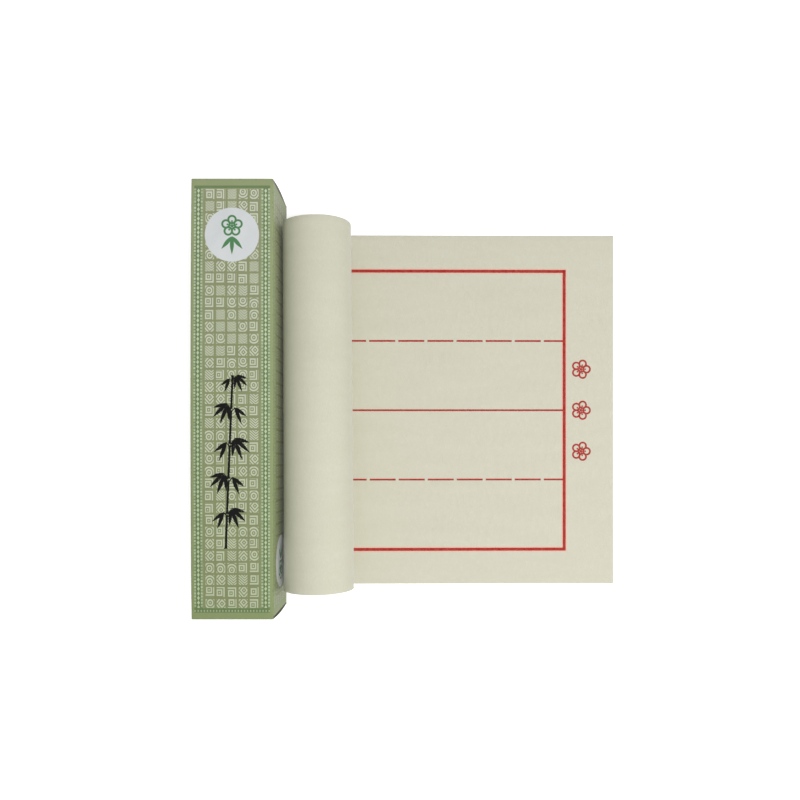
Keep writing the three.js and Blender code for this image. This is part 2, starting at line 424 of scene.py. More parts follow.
def feed(socket, value):
    """Links a socket to a signal, or sets it to a plain value."""
    if isinstance(value, Signal):
        socket.id_data.links.new(value.socket, socket)
    else:
        socket.default_value = value


def add_node(tree, kind, inputs=None, **settings):
    """A new node, with its settings, and its inputs by name or number."""
    node = tree.nodes.new(kind)
    for key, value in settings.items():
        setattr(node, key, value)
    for key, value in (inputs or {}).items():
        feed(node.inputs[key], value)
    return node


def tree_of(values):
    """The node tree of the signals among the values."""
    return next(value.socket.id_data for value in values if isinstance(value, Signal))


def derive(kind, output, inputs, **settings):
    """One output of a new node, in the tree of the signals that feed it."""
    node = add_node(tree_of(inputs.values()), kind, inputs, **settings)
    return Signal(node.outputs[output])


def reckon(operation, *values, clamp=False):
    inputs = dict(enumerate(values))
    return derive("ShaderNodeMath", 0, inputs, operation=operation, use_clamp=clamp)


def largest(first, *others):
    for other in others:
        first = reckon("MAXIMUM", first, other)
    return first


def smallest(first, *others):
    for other in others:
        first = reckon("MINIMUM", first, other)
    return first


def reckon_vector(operation, *values):
    inputs = dict(enumerate(values))
    return derive("ShaderNodeVectorMath", "Vector", inputs, operation=operation)


def split(position):
    return [derive("ShaderNodeSeparateXYZ", axis, {"Vector": position}) for axis in "XY"]


def join(x, y):
    return derive("ShaderNodeCombineXYZ", "Vector", {"X": x, "Y": y})


def distance(x, y):
    return derive("ShaderNodeVectorMath", "Value", {0: join(x, y)}, operation="LENGTH")


def mapped(position, turn, scale):
    """The position turned about Z, then scaled."""
    inputs = {"Vector": position, "Rotation": (0, 0, math.radians(turn)), "Scale": scale}
    return derive("ShaderNodeMapping", "Vector", inputs)


def noise(position, scale, detail=2.0, roughness=0.5, distortion=0.0, output="Fac"):
    inputs = {"Vector": position, "Scale": scale, "Detail": detail}
    inputs |= {"Roughness": roughness, "Distortion": distortion}
    return derive("ShaderNodeTexNoise", output, inputs)


def draw(column, row, output="Value"):
    """A random number or colour for each cell of a grid."""
    inputs = {"Vector": join(column, row)}
    return derive("ShaderNodeTexWhiteNoise", output, inputs, noise_dimensions="2D")


def ramp(value, low, high):
    """0 at low and 1 at high, with a smooth step between them."""
    inputs = {"Value": value, "From Min": low, "From Max": high}
    return derive("ShaderNodeMapRange", 0, inputs, interpolation_type="SMOOTHSTEP")


def below(value, limit, blur):
    """1 where the value is below the limit, with a soft edge."""
    return ramp(value, limit + blur, limit - blur)


def mix(factor, first, second, blend="MIX"):
    """First where the factor is 0, second where it is 1, as colours."""
    first, second = (c if isinstance(c, Signal) else (*c, 1) for c in (first, second))
    # The colour sockets share their names with others, so they go by number.
    inputs = {0: factor, 6: first, 7: second}
    return derive("ShaderNodeMix", 2, inputs, data_type="RGBA", blend_type=blend)


def choose(factor, first, second):
    """First where the factor is 0, second where it is 1, as numbers."""
    inputs = {"Factor": factor, "A": first, "B": second}
    return derive("ShaderNodeMix", "Result", inputs, data_type="FLOAT")


def tint(first, second):
    """Two colours multiplied."""
    return mix(1.0, first, second, "MULTIPLY")


def bump(height, strength, reach):
    inputs = {"Strength": strength, "Distance": reach, "Height": height}
    return derive("ShaderNodeBump", "Normal", inputs)


def seen_by(tree, *rays):
    """1 for the kinds of ray that are named, 0 for the others."""
    path = add_node(tree, "ShaderNodeLightPath").outputs
    return largest(*(Signal(path[f"Is {ray} Ray"]) for ray in rays))


def own_map(tree, name):
    return Signal(add_node(tree, "ShaderNodeUVMap", uv_map=name).outputs["UV"])


def object_place(tree):
    return Signal(add_node(tree, "ShaderNodeTexCoord").outputs["Object"])


def node_group(*outputs):
    """Makes a node group of a function that turns signals into signals, when it is first used."""

    def wrap(build):
        parameters = inspect.signature(build).parameters
        name, *keys = (key.replace("_", " ").title() for key in (build.__name__, *parameters))

        def make():
            tree = bpy.data.node_groups.new(name, "ShaderNodeTree")
            for key in keys:
                kind = "NodeSocketVector" if key in ("Position", "Base") else "NodeSocketFloat"
                tree.interface.new_socket(key, in_out="INPUT", socket_type=kind)
            for key in outputs:
                tree.interface.new_socket(key, in_out="OUTPUT", socket_type="NodeSocketFloat")
            source = add_node(tree, "NodeGroupInput").outputs
            made = build(*(Signal(source[key]) for key in keys))
            add_node(tree, "NodeGroupOutput", dict(zip(outputs, made)))
            return tree

        def use(*values):
            group = bpy.data.node_groups.get(name) or make()
            inputs = dict(zip(keys, values))
            node = add_node(tree_of(values), "ShaderNodeGroup", inputs, node_tree=group)
            return [Signal(node.outputs[key]) for key in outputs]

        return use

    return wrap


def principled(name):
    """A new material, with its node tree and its shader."""
    material = bpy.data.materials.new(name)
    material.use_nodes = True
    tree = material.node_tree
    return material, tree, tree.nodes["Principled BSDF"].inputs


def set_surface(shader, base, roughness, normal, specular):
    feed(shader["Base Color"], base)
    feed(shader["Roughness"], roughness)
    feed(shader["Normal"], normal)
    shader["Specular IOR Level"].default_value = specular


# Node groups that more than one material or place uses.


@node_group("Tone", "Height")
def felt_fibres(position):
    """Matted fibres: drawn-out clouds of looser and closer felt, tufts and single strands."""
    clouds = noise(mapped(position, 0, (16, 75, 1)), 1, detail=3, roughness=0.6)
    tufts = noise(position, 240, detail=4, roughness=0.65, distortion=0.5)
    sway = noise(position, 190, output="Color")
    swayed = reckon_vector("MULTIPLY_ADD", sway, (0.006, 0.006, 0), position)
    turned = [mapped(swayed, turn, (2400, 340, 1)) for turn in (20, 78, 141)]
    strands = ramp(largest(*(noise(place, 1) for place in turned)), 0.45, 0.78)
    tone = clouds.times_plus(0.45, tufts * 0.25)
    return strands.times_plus(0.3, tone), strands.times_plus(0.6, tufts)


@node_group("Tone", "Height")
def board_grain(position):
    """Paper fibres pressed flat: faint blotches, flecks and a fine tooth."""
    blotches = noise(position, 60, detail=3)
    flecks = noise(mapped(position, 30, (900, 2600, 900)), 1)
    tooth = noise(position, 1800)
    return flecks.times_plus(0.5, blotches * 0.5), tooth.times_plus(0.7, flecks)


@node_group("Ink")
def blossom(position):
    """A five-petalled blossom in outline, one unit from its middle to its petal tips."""
    x, y = split(position)
    radius = distance(x, y)
    sector = 2 * math.pi / 5
    turned = reckon("ARCTAN2", x, y) + (2 * math.pi + sector / 2)
    off_axis = reckon("MODULO", turned, sector) - sector / 2
    along = radius * reckon("COSINE", off_axis)
    across = radius * reckon("SINE", off_axis)
    petal = below(abs(distance(along - 0.6, across) - 0.35), 0.095, 0.02)
    anther = below(distance(along - 0.45, across), 0.09, 0.02)
    heart = below(radius, 0.14, 0.02)
    filament = below(largest(abs(across), along - 0.42), 0.045, 0.015)
    return [largest(petal, anther, heart, filament)]


@node_group("Depth")
def brush_leaf(position, base, angle, length, width):
    """How far a point lies inside a brushed leaf that points from its base along its angle."""
    inputs = {"Vector": reckon_vector("SUBTRACT", position, base), "Angle": angle * -1}
    turned = derive("ShaderNodeVectorRotate", "Vector", inputs, rotation_type="Z_AXIS")
    along, across = split(turned)
    share = reckon("DIVIDE", along, length, clamp=True)
    swell = reckon("SINE", reckon("POWER", share, 0.8) * math.pi)
    missed = abs(across) + abs(share * length - along)
    return [swell * (width * 0.5) - missed]


@node_group("Dark", "Field", "Pale", "Trim", "Worn")
def panel_print(position, half_width, half_length):
    """The print of one panel: dark lines and side bands, and the pale tiles of the field."""
    ink = bpy.context.scene.felt_mat.print
    x, y = split(position)
    side = half_width - abs(x)
    end = half_length - abs(y)

    def above(value, limit):
        return ramp(value, limit - PRINT_BLUR, limit + PRINT_BLUR)

    at_foot = reckon("LESS_THAN", y, 0)
    end_line = at_foot.times_plus(ink.foot_line - ink.end_line, ink.end_line)
    past_line = end - ink.end_border - end_line
    within = above(side, ink.side_border) * above(end, ink.end_border)
    share = (side - ink.side_border) / ink.band_width
    in_band = within * below(share, 1.0, 0.02)
    on_line = within * below(past_line, 0, PRINT_BLUR)

    # Each tile draws its own motif and the motif's middle.
    column = reckon("ROUND", x / ink.column_pitch)
    row = reckon("ROUND", y / ink.row_pitch)
    drawn = draw(column, row)
    off_x, off_y = split(draw(column, row, "Color"))
    u = column.times_plus(-ink.column_pitch, x) / (ink.tile_width / 2)
    v = row.times_plus(-ink.row_pitch, y) / (ink.tile_length / 2)
    in_tile = below(largest(abs(u), abs(v)), 1.0, 0.03)
    a = abs(off_x - 0.5 + u)
    signed_b = off_y - 0.5 + v
    b = abs(signed_b)
    motif = largest(a, b)
    ring = distance(a, b) * 0.95
    diamond = (a + b) * 0.72
    chevron = signed_b - a * 0.8
    for limit, other in ((0.62, ring), (0.42, diamond), (0.22, chevron)):
        motif = choose(reckon("LESS_THAN", drawn, limit), motif, other)
    stroke = reckon("COSINE", motif * (1.9 * 2 * math.pi))
    tile = in_tile * ramp(stroke, -0.5, 0.05)
    field_start = ink.side_border + ink.band_width + FIELD_GAP
    in_field = above(side, field_start) * above(past_line, FIELD_GAP)

    # The bands carry a row of lozenges between two rows of dots, and the foot line a row of dots.
    off_middle = abs(share - 0.5)
    wave = reckon("COSINE", y * (2 * math.pi / ink.dot_pitch))
    weight = draw(reckon("SIGN", x), reckon("ROUND", y / ink.dot_pitch)).times_plus(0.5, 0.45)
    dots = ramp(off_middle, 0.26, 0.3) * (weight * ramp(wave, -0.9, -0.5))
    zigzag = reckon("PINGPONG", y / (ink.lozenge_pitch / 2), 1)
    lozenge = below(off_middle.times_plus(1 / 0.16, zigzag), 1.0, 0.15)
    band_trim = in_band * largest(dots, lozenge) * above(past_line, 0.0003)
    line_wave = reckon("COSINE", x * (2 * math.pi / ink.dot_pitch))
    off_line = abs(past_line + ink.foot_line * 0.6)
    line_dots = ramp(line_wave, 0.0, 0.5) * below(off_line, 0.0008, 0.0002)
    trim = largest(band_trim, on_line * at_foot * line_dots * 0.6)

    scuffs = noise(position, 420, detail=3, roughness=0.7)
    scuffed = smallest(side, end) - ramp(scuffs, 0.4, 0.75) * 0.0011
    worn = ramp(scuffed, 0.0002, -0.0003)
    return largest(on_line, in_band), in_field, tile * in_field, trim, worn


# Materials.


def ruling_mask(run, across, ruling, cut_length):
    """The ruling's ink and the stain beside its frame.

    They go by the run from the sheet's end and the distance from its middle line.
    """
    blur = ruling.bleed / 2
    off_middle = abs(across)
    half_length = cut_length / 2 - ruling.frame_inset
    past_end = abs(run - cut_length / 2) - half_length
    outside = largest(off_middle - ruling.frame_half_width, past_end)
    frame_ink = below(abs(outside), ruling.frame_line / 2, blur)
    soaked = ruling.stain_width / 2
    stain = below(abs(outside), ruling.frame_line / 2 + soaked, soaked)
    middle_ink = below(off_middle, ruling.guide_line / 2, blur)
    off_guide = abs(off_middle - ruling.guide_spacing)
    start = ruling.frame_inset + ruling.first_dash
    into_pitch = reckon("FLOORED_MODULO", run - start, ruling.dash_pitch)
    dash = ramp(into_pitch, ruling.dash_gap - blur, ruling.dash_gap + blur)
    dashed_ink = below(off_guide, ruling.guide_line / 2, blur) * dash
    guide_ink = largest(middle_ink, dashed_ink) * below(outside, 0.0, blur)
    return largest(frame_ink, guide_ink), stain


def blossom_marks(run, across, ruling):
    """Three blossoms in a row beside the frame's end line."""
    nearest = smallest(largest(reckon("ROUND", across / ruling.mark_spacing), -1), 1)
    x = (ruling.mark_inset - run) / ruling.mark_radius
    y = nearest.times_plus(-ruling.mark_spacing, across) / ruling.mark_radius
    return blossom(join(y, x))[0]


def felt_material(name, properties, ruled=False, cut=False):
    """Ivory felt. Its face and back follow the sheet, and its cut edge shows the felt's inside."""
    material, tree, shader = principled(name)
    sheet, ruling = properties.sheet, properties.ruling
    place = object_place(tree) if cut else own_map(tree, SHEET_MAP)
    fibre_tone, fibre_height = felt_fibres(place)
    tone = ramp(fibre_tone, 0.15, 0.85)
    deep, pale = (sheet.deep, sheet.pale) if ruled else (sheet.back_deep, sheet.back_pale)
    base = mix(tone, deep, pale)
    if ruled:
        crept = (noise(place, 2600) - 0.5) * (ruling.bleed * 3)
        run, across = split(place)
        run = run + crept
        across = across + crept + ruling.print_shift
        ruled_ink, stain = ruling_mask(run, across, ruling, sheet.cut_length)
        base = mix(stain, base, ruling.stain)
        printed = largest(ruled_ink, blossom_marks(run, across, ruling))
        cover = fibre_height.times_plus(-0.22, 1.08, clamp=True)
        base = mix(printed * cover, base, ruling.ink)
    strength = 0.7 if cut else 0.45 if ruled else 0.35
    normal = bump(fibre_height, strength, FELT_BUMP)
    set_surface(shader, base, tone.times_plus(0.1, 0.88), normal, specular=0.15)
    shader["Sheen Weight"].default_value = 0.35
    shader["Sheen Roughness"].default_value = 0.5
    return material


def sprig(x, y):
    """A blossom over three leaves, for the white disc, about its middle."""
    size = 0.0082
    ink = blossom(join(x / size, (y - 0.0068) / size))[0]
    for turn, reach in ((-90, 0.0142), (-50, 0.0128), (-130, 0.0128)):
        depth = brush_leaf(join(x, y), (0, -0.0014, 0), math.radians(turn), reach, 0.0031)[0]
        ink = largest(ink, ramp(depth, -0.0001, 0.0001))
    return ink


BAMBOO_FOOT = -0.117
BAMBOO_TIP = 0.019
BAMBOO_JOINT = 0.0272
BAMBOO_LEAN = 0.0404
BAMBOO_SPRAYS = (
    # place along the panel, hand, size
    (0.0185, 1, 0.82),
    (-0.0035, -1, 1.0),
    (-0.0305, 1, 1.06),
    (-0.0577, -1, 1.04),
    (-0.085, 1, 1.0),
)
SPRAY_STROKES = (
    # start out from the stem, start above the stem's joint, angle, length, width
    (0.0, -0.0055, 58, 0.0072, 0.0011),
    (0.0034, 0.0, -16, 0.0114, 0.0028),
    (0.0034, 0.0, -44, 0.0152, 0.0031),
    (0.003, -0.0005, -69, 0.0166, 0.0031),
    (0.0026, -0.001, -94, 0.0128, 0.0028),
    (0.0, -0.0065, 128, 0.005, 0.001),
    (-0.0026, -0.003, -142, 0.0118, 0.0027),
    (-0.0026, -0.003, -112, 0.0142, 0.0029),
)


def bamboo(x, y):
    """A brushed stem of bamboo with drooping sprays of leaves, by the place on the front panel."""
    place = join(x, y)
    off_stem = abs(y.times_plus(-BAMBOO_LEAN, x))
    from_joint = reckon("PINGPONG", BAMBOO_TIP - y, BAMBOO_JOINT / 2)
    half_stem = ramp(from_joint, 0.003, 0.0).times_plus(0.0005, 0.0009)
    off_middle = abs(y - (BAMBOO_FOOT + BAMBOO_TIP) / 2)
    inside_ends = (BAMBOO_TIP - BAMBOO_FOOT) / 2 - off_middle
    depth = smallest(half_stem - off_stem, from_joint - 0.0005, inside_ends)
    for along, hand, size in BAMBOO_SPRAYS:
        for out, up, angle, reach, width in SPRAY_STROKES:
            base = (BAMBOO_LEAN * along + hand * out * size, along + up * size, 0)
            turn = math.radians(angle if hand > 0 else 180 - angle)
            stroke = brush_leaf(place, base, turn, reach * size, width * size)[0]
            depth = largest(depth, stroke)
    ragged = noise(place, 700, detail=3) - 0.5
    ink = ramp(ragged.times_plus(0.001, depth), -0.00012, 0.00015)
    dry = noise(mapped(place, 0, (2600, 260, 1)), 1, detail=3)
    return ink * ramp(dry, 0.22, 0.34)


def inked_ground(ink, dark, field, pale, trim):
    """Olive border, the field's ground, dark lines, the trim on them and pale tiles."""
    base = mix(field, ink.olive, ink.field)
    base = mix(dark, base, ink.dark_green)
    base = mix(trim, base, ink.trim_green)
    return mix(pale, base, ink.pale_green)


def finish_board(shader, base, worn, bare):
    """Grain, scuffed creases and a low gloss over the print."""
    grain_tone, grain_height = board_grain(own_map(tree_of([base]), BLANK_MAP))
    shade = ramp(grain_tone, 0.25, 0.75)
    grained = tint(base, mix(shade, (0.93, 0.93, 0.93), (1.05, 1.05, 1.05)))
    # Worn spots take the cut edges' colour, which is darkened as painted shade.
    coloured = mix(worn * 0.55, grained, bare)
    roughness = worn.times_plus(0.25, shade.times_plus(0.1, 0.46))
    normal = bump(grain_height, 0.12, BOARD_BUMP)
    set_surface(shader, coloured, roughness, normal, specular=0.15)


def carton_print(name, properties):
    """The printed outside of the sleeve.

    The side panels carry the front's print turned half round, without its dark lines, and painted
    shade fades their tiles and trim.
    """
    material, tree, shader = principled(name)
    carton, ink = properties.carton, properties.print
    girth, along = split(own_map(tree, BLANK_MAP))
    panel = reckon("ROUND", girth / carton.width)
    odd = reckon("MODULO", abs(panel), 2)
    facing = odd.times_plus(-2, 1)
    x = panel.times_plus(-carton.width, girth) * facing
    y = along * facing
    halves = carton.width / 2, carton.length / 2
    dark, field, pale, trim, worn = panel_print(join(x, y), *halves)
    # Painted shade: on the side panels the pale tiles and the trim are faded, which darkens those
    # panels.
    strength = odd.times_plus(-0.4, 1)
    base = inked_ground(ink, dark * (1 - odd), field, pale * strength, trim * strength)
    # Painted shade: the print darkens towards its bottom end.
    lower = along.times_plus(-1 / carton.length, 0.5, clamp=True)
    base = tint(base, mix(lower, (1, 1, 1), ink.lower_tint))

    disc_y = y - odd.times_plus(ink.disc_shift, carton.length / 2 - ink.disc_inset)
    base = mix(below(distance(x, disc_y), ink.disc_radius, 0.0001), base, ink.disc_white)
    base = mix(sprig(x, disc_y), base, ink.disc_green)
    on_front = reckon("COMPARE", panel, 0, 0.1)
    base = mix(on_front * bamboo(x, y), base, ink.brush_black)
    finish_board(shader, base, worn, ink.cut_edge)
    return material


def lid_print(name, properties):
    """The printed outside of the lids: the panels' print at the lid's own size."""
    material, tree, shader = principled(name)
    ink, half = properties.print, properties.carton.width / 2
    *masks, worn = panel_print(own_map(tree, BLANK_MAP), half, half)
    finish_board(shader, inked_ground(ink, *masks), worn, ink.cut_edge)
    return material


def plain_board(name, base_colour, roughness, contrast):
    """Board in one ink or bare, with its fibres showing. It is made when it is first asked for."""
    if name in bpy.data.materials:
        return bpy.data.materials[name]
    material, tree, shader = principled(name)
    grain_tone, grain_height = board_grain(object_place(tree))
    darker = [value * (1 - contrast) for value in base_colour]
    tone = ramp(grain_tone, 0.3, 0.7)
    base = mix(tone, darker, base_colour)
    normal = bump(grain_height, 0.2, BOARD_BUMP)
    set_surface(shader, base, tone.times_plus(-0.1, roughness + 0.05), normal, specular=0.3)
    return material


def bare_board(ink):
    return plain_board("Bare Board", ink.inside, roughness=0.85, contrast=0.12)


def flap_board(ink):
    return plain_board("Printed Flap", ink.olive, roughness=0.5, contrast=0.08)


def board_materials(outside, ink):
    """Outside, inside and cut edge of a board, in that order."""
    # Painted shade: the cut edges are darkened so that the slits beside the lids show dark.
    cut_edge = plain_board("Cut Board", ink.cut_edge, roughness=0.9, contrast=0.25)
    return outside, bare_board(ink), cut_edge


def make_board(skin, offset, outside, properties):
    """Gives a skin the board's thickness, its inside and its cut edges."""
    carton = properties.carton
    materials = board_materials(outside, properties.print)
    thicken(skin, carton.board, offset, carton.edge_round, materials)


# Operators, with the functions that build their pieces.


def floor_material(stage):
    """A pale floor that keeps its shadows and shows white to the camera elsewhere."""
    material, tree, shader = principled("Pale Floor")
    shader["Base Color"].default_value = (*stage.floor, 1)
    shader["Roughness"].default_value = 1.0
    shader["Specular IOR Level"].default_value = 0.0
    glow = {"Strength": seen_by(tree, "Camera", "Glossy") * stage.floor_glow}
    glowing = derive("ShaderNodeEmission", "Emission", glow)
    lit = Signal(tree.nodes["Principled BSDF"].outputs["BSDF"])
    both = derive("ShaderNodeAddShader", "Shader", {0: lit, 1: glowing})
    feed(tree.nodes["Material Output"].inputs["Surface"], both)
    return material


def sky(stage):
    """A world that the camera sees as white, and that lights the set more faintly."""
    world = bpy.data.worlds.new("Studio")
    world.use_nodes = True
    background = world.node_tree.nodes["Background"].inputs
    background["Color"].default_value = (1, 1, 1, 1)
    seen = seen_by(world.node_tree, "Camera", "Transmission")
    strength = seen.times_plus(1 - stage.sky_strength, stage.sky_strength)
    feed(background["Strength"], strength)
    return world


def add_lamp(name, place, power, size):
    """A square lamp that faces the middle of the set."""
    aim = (-Vector(place)).to_track_quat("-Z", "Y").to_euler()
    bpy.ops.object.light_add(type="AREA", location=place, rotation=aim)
    lamp = bpy.context.object
    lamp.name = name
    lamp.data.energy = power
    lamp.data.size = size


def add_camera(stage):
    bpy.ops.object.camera_add(location=stage.camera_place, rotation=(0, 0, 0))
    camera = bpy.context.object
    camera.data.lens = stage.lens
    camera.data.sensor_width = stage.sensor
    camera.data.shift_x = stage.shift_x
    camera.data.shift_y = stage.shift_y
    camera.data.dof.use_dof = False
    return camera


class FELTMAT_OT_add_stage(bpy.types.Operator):
    """Set up the floor, the light and the camera"""

    bl_idname = "felt_mat.add_stage"
    bl_label = "Stage"

    def execute(self, context):
        stage = context.scene.felt_mat.stage
        floor = add_skin("floor", (stage.floor_size, stage.floor_size), (0, 0, -stage.floor_drop))
        floor.data.materials.append(floor_material(stage))
        floor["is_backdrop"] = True
        context.scene.world = sky(stage)
        add_lamp("key_lamp", stage.key_place, stage.key_power, stage.key_size)
        add_lamp("fill_lamp", stage.fill_place, stage.fill_power, stage.fill_size)
        context.scene.camera = add_camera(stage)
        context.scene.view_settings.view_transform = "Standard"
        return {"FINISHED"}


def lifted(free, across):
    """Height of the flat end as a share of the lift at its free corners."""
    first, second = (along * free + over * across for along, over in RIPPLE_WAVES)
    ripple = 0.5 + 0.5 * math.sin(first) * math.cos(second)
    across_power, along_power = CORNER_POWERS
    corner = abs(across) ** across_power * free**along_power
    return corner + RIPPLE_SHARE * ripple * free * (1 - free)


def laid(point, sheet, middle_y):
    """Where a point of the flat sheet ends up: on the table, or wound into the roll."""
    run = END_HIGH.x - point.x
    roll_x = ROLL_LOW.x + sheet.roll_diameter / 2
    flat_length = END_HIGH.x - roll_x
    across = (point.y - middle_y) / (sheet.cut_width / 2)
    skew = -sheet.roll_skew * across
    if run <= flat_length:
        free = 1 - run / flat_length
        lift = sheet.corner_lift * lifted(free, across)
        y = point.y - sheet.end_taper * free * across
        return Vector((point.x + skew * (1 - free) ** 2, y, point.z + lift))
    pitch = sheet.thickness + sheet.turn_gap
    radius = (sheet.roll_diameter - sheet.thickness) / 2
    centre_z = sheet.roll_diameter / 2
    angle = 1.5 * math.pi
    left = run - flat_length
    outward = 1
    # The spiral is made of half turns. Each is half a pitch smaller, about a shifted centre.
    while left > math.pi * radius:
        left -= math.pi * radius
        angle -= math.pi
        radius -= pitch / 2
        centre_z += outward * pitch / 2
        outward = -outward
    angle -= left / radius
    wound = (run - flat_length) / (sheet.cut_length - flat_length)
    stray = sheet.end_wander * wound * math.sin(WANDER_WAVES * wound + WANDER_START)
    stray += sheet.end_lean * max(0, math.cos(angle))
    tightness = 1 - sheet.roll_taper * across / (sheet.roll_diameter / 2)
    x = roll_x + skew + tightness * radius * math.cos(angle)
    z = point.z + tightness * (centre_z + radius * math.sin(angle) - point.z)
    return Vector((x, point.y + stray, z))


class FELTMAT_OT_add_sheet(bpy.types.Operator):
    """Lay the felt flat at its cut size, wind one end up and give it its thickness"""

    bl_idname = "felt_mat.add_sheet"
    bl_label = "Felt Sheet"

    def execute(self, context):
        properties = context.scene.felt_mat
        sheet = properties.sheet
        middle_y = (END_LOW.y + END_HIGH.y) / 2
        felt = add_skin(
            "felt_mat",
            (sheet.cut_length, sheet.cut_width),
            (END_HIGH.x - sheet.cut_length / 2, middle_y, sheet.thickness / 2),
            columns=sheet.columns,
            rows=sheet.rows,
        )
        write_map(felt, SHEET_MAP, lambda point, face: (END_HIGH.x - point.x, point.y - middle_y))
        for vertex in felt.data.vertices:
            vertex.co = laid(vertex.co, sheet, middle_y)
        materials = (
            felt_material("Ruled Felt", properties, ruled=True),
            felt_material("Plain Felt", properties),
            felt_material("Cut Felt", properties, cut=True),
        )
        thicken(felt, sheet.thickness, 0, sheet.edge_round, materials)
        start = Vector((HINGE["mat_lift"].x - BEND_BACK, middle_y, sheet.thickness / 2))
        span = BEND_REACH * math.cos(BEND_TILT)
        end = start + Vector((math.cos(BEND_TILT), 0, -math.sin(BEND_TILT))) * span
        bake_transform(felt)
        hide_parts("mat_roll", "mat_free_end")
        return {"FINISHED"}


def blank_place(point, face):
    """Place on the blank: the girth from the front panel's middle, and the length."""
    width = SLEEVE_HIGH.x - SLEEVE_LOW.x
    x, z = point.x - CARTON_X, point.z - width / 2
    over, up = face.center.x - CARTON_X, face.center.z - width / 2
    if abs(up) >= abs(over):
        girth = x if up > 0 else 2 * width - x
    else:
        girth = width - z if over > 0 else z - width
    return girth, point.y


def shaped(point, carton):
    """Swells the panels a little and sets the side panels' ends back."""
    half, end_y = carton.width / 2, carton.length / 2
    x, y, z = point.x - CARTON_X, point.y, point.z - half
    flat_half = half - 0.9 * carton.crease_radius
    on_side = abs(x) > half - TOUCH
    if on_side and abs(y) > end_y - TOUCH and abs(z) < flat_half:
        y = math.copysign(end_y - carton.side_setback, y)
    swell = 1 - (y / end_y) ** 2
    left_share = (half - x) / carton.width
    if on_side:
        x += math.copysign(carton.side_bow * swell * (1 - (z / half) ** 2), x)
    elif z > half - TOUCH:
        z += carton.front_bow * swell * (1 - (x / half) ** 2)
    x -= carton.crease_bow * swell * left_share
    return Vector((x + CARTON_X, y, z + half))


def add_lap(properties):
    """The lap is glued flat on the left panel's inner face."""
    carton = properties.carton
    lap = add_skin(
        "glue_lap",
        (carton.lap_width, carton.length - 2 * carton.lap_setback),
        (SLEEVE_LOW.x + carton.board, 0, carton.board + carton.lap_width / 2),
        (0, math.pi / 2, 0),
    )
    with edit_mode(lap):
        pick(lap, "edges", lambda edge: all(v.co.z > carton.lap_width / 2 for v in edge.verts))
        bpy.ops.transform.resize(value=(1, LAP_TAPER, 1))
        bpy.ops.mesh.select_all(action="SELECT")
        bpy.ops.mesh.subdivide(number_cuts=LAP_CUTS)
    for vertex in lap.data.vertices:
        swell = 1 - (vertex.co.y / (carton.length / 2)) ** 2
        height = 2 * vertex.co.z / carton.width - 1
        vertex.co.x -= swell * (carton.crease_bow + carton.side_bow * (1 - height**2))
    make_board(lap, 1, bare_board(properties.print), properties)
    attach(lap, "carton")


class FELTMAT_OT_add_sleeve(bpy.types.Operator):
    """Fold the carton's four panels into a tube, with the glued lap inside it"""

    bl_idname = "felt_mat.add_sleeve"
    bl_label = "Carton Sleeve"

    def execute(self, context):
        properties = context.scene.felt_mat
        carton = properties.carton
        half = carton.width / 2
        bpy.ops.object.select_all(action="DESELECT")
        bpy.ops.mesh.primitive_cube_add(size=1, calc_uvs=False, location=(CARTON_X, 0, half))
        sleeve = named("carton_tube", (carton.width, carton.length, carton.width))

        def at_lap(edge):
            return all(v.co.x < CARTON_X and v.co.z < half for v in edge.verts)

        with edit_mode(sleeve):
            pick(sleeve, "faces", lambda face: abs(face.normal.y) > 0.9)
            bpy.ops.mesh.delete(type="ONLY_FACE")
            pick(sleeve, "edges", lambda edge: runs_along(edge, 1) and not at_lap(edge))
            bpy.ops.mesh.bevel(offset=carton.crease_radius, segments=4, affect="EDGES")
            pick(sleeve, "edges", at_lap)
            bpy.ops.mesh.bevel(offset=carton.board / 2, segments=2, affect="EDGES")
            pick(sleeve, "edges", lambda edge: runs_along(edge, 1))
            bpy.ops.mesh.subdivide(number_cuts=TUBE_CUTS)
            for axis in (0, 2):
                pick(sleeve, "edges", lambda e: runs_along(e, axis) and e.calc_length() > half)
                bpy.ops.mesh.subdivide(number_cuts=PANEL_CUTS)
        write_map(sleeve, BLANK_MAP, blank_place)
        for vertex in sleeve.data.vertices:
            vertex.co = shaped(vertex.co, carton)
        make_board(sleeve, -1, carton_print("Printed Board", properties), properties)
        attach(sleeve, "carton")
        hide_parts("carton_sleeve")
        add_lap(properties)
        return {"FINISHED"}


class FELTMAT_OT_add_lids(bpy.types.Operator):
    """Hang a bowed lid on each end of the carton"""

    bl_idname = "felt_mat.add_lids"
    bl_label = "Lids"

    def execute(self, context):
        properties = context.scene.felt_mat
        carton = properties.carton
        half = carton.width / 2
        outside = lid_print("Printed Lid", properties)
        for end, side, bow in (("top", 1, carton.top_bow), ("bottom", -1, carton.bottom_bow)):
            hinge = HINGE[f"{end}_lid_hinge"]
            low, high = LID_LOW.z, hinge.z - carton.crease_slit
            lid = add_skin(
                f"{end}_lid_board",
                (LID_HIGH.x - LID_LOW.x, high - low),
                (CARTON_X, hinge.y + side * carton.board / 2, (low + high) / 2),
                (-side * math.pi / 2, 0, 0),
                LID_COLUMNS,
                LID_ROWS,
            )
            write_map(lid, BLANK_MAP, lambda point, face: (point.x - CARTON_X, point.z - half))
            for vertex in lid.data.vertices:
                share = (vertex.co.z - low) / (high - low)
                vertex.co.y += side * bow * math.sin(math.pi * share)
            make_board(lid, -1, outside, properties)
            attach(lid, f"{end}_lid")
            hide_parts(f"{end}_lid")
        return {"FINISHED"}


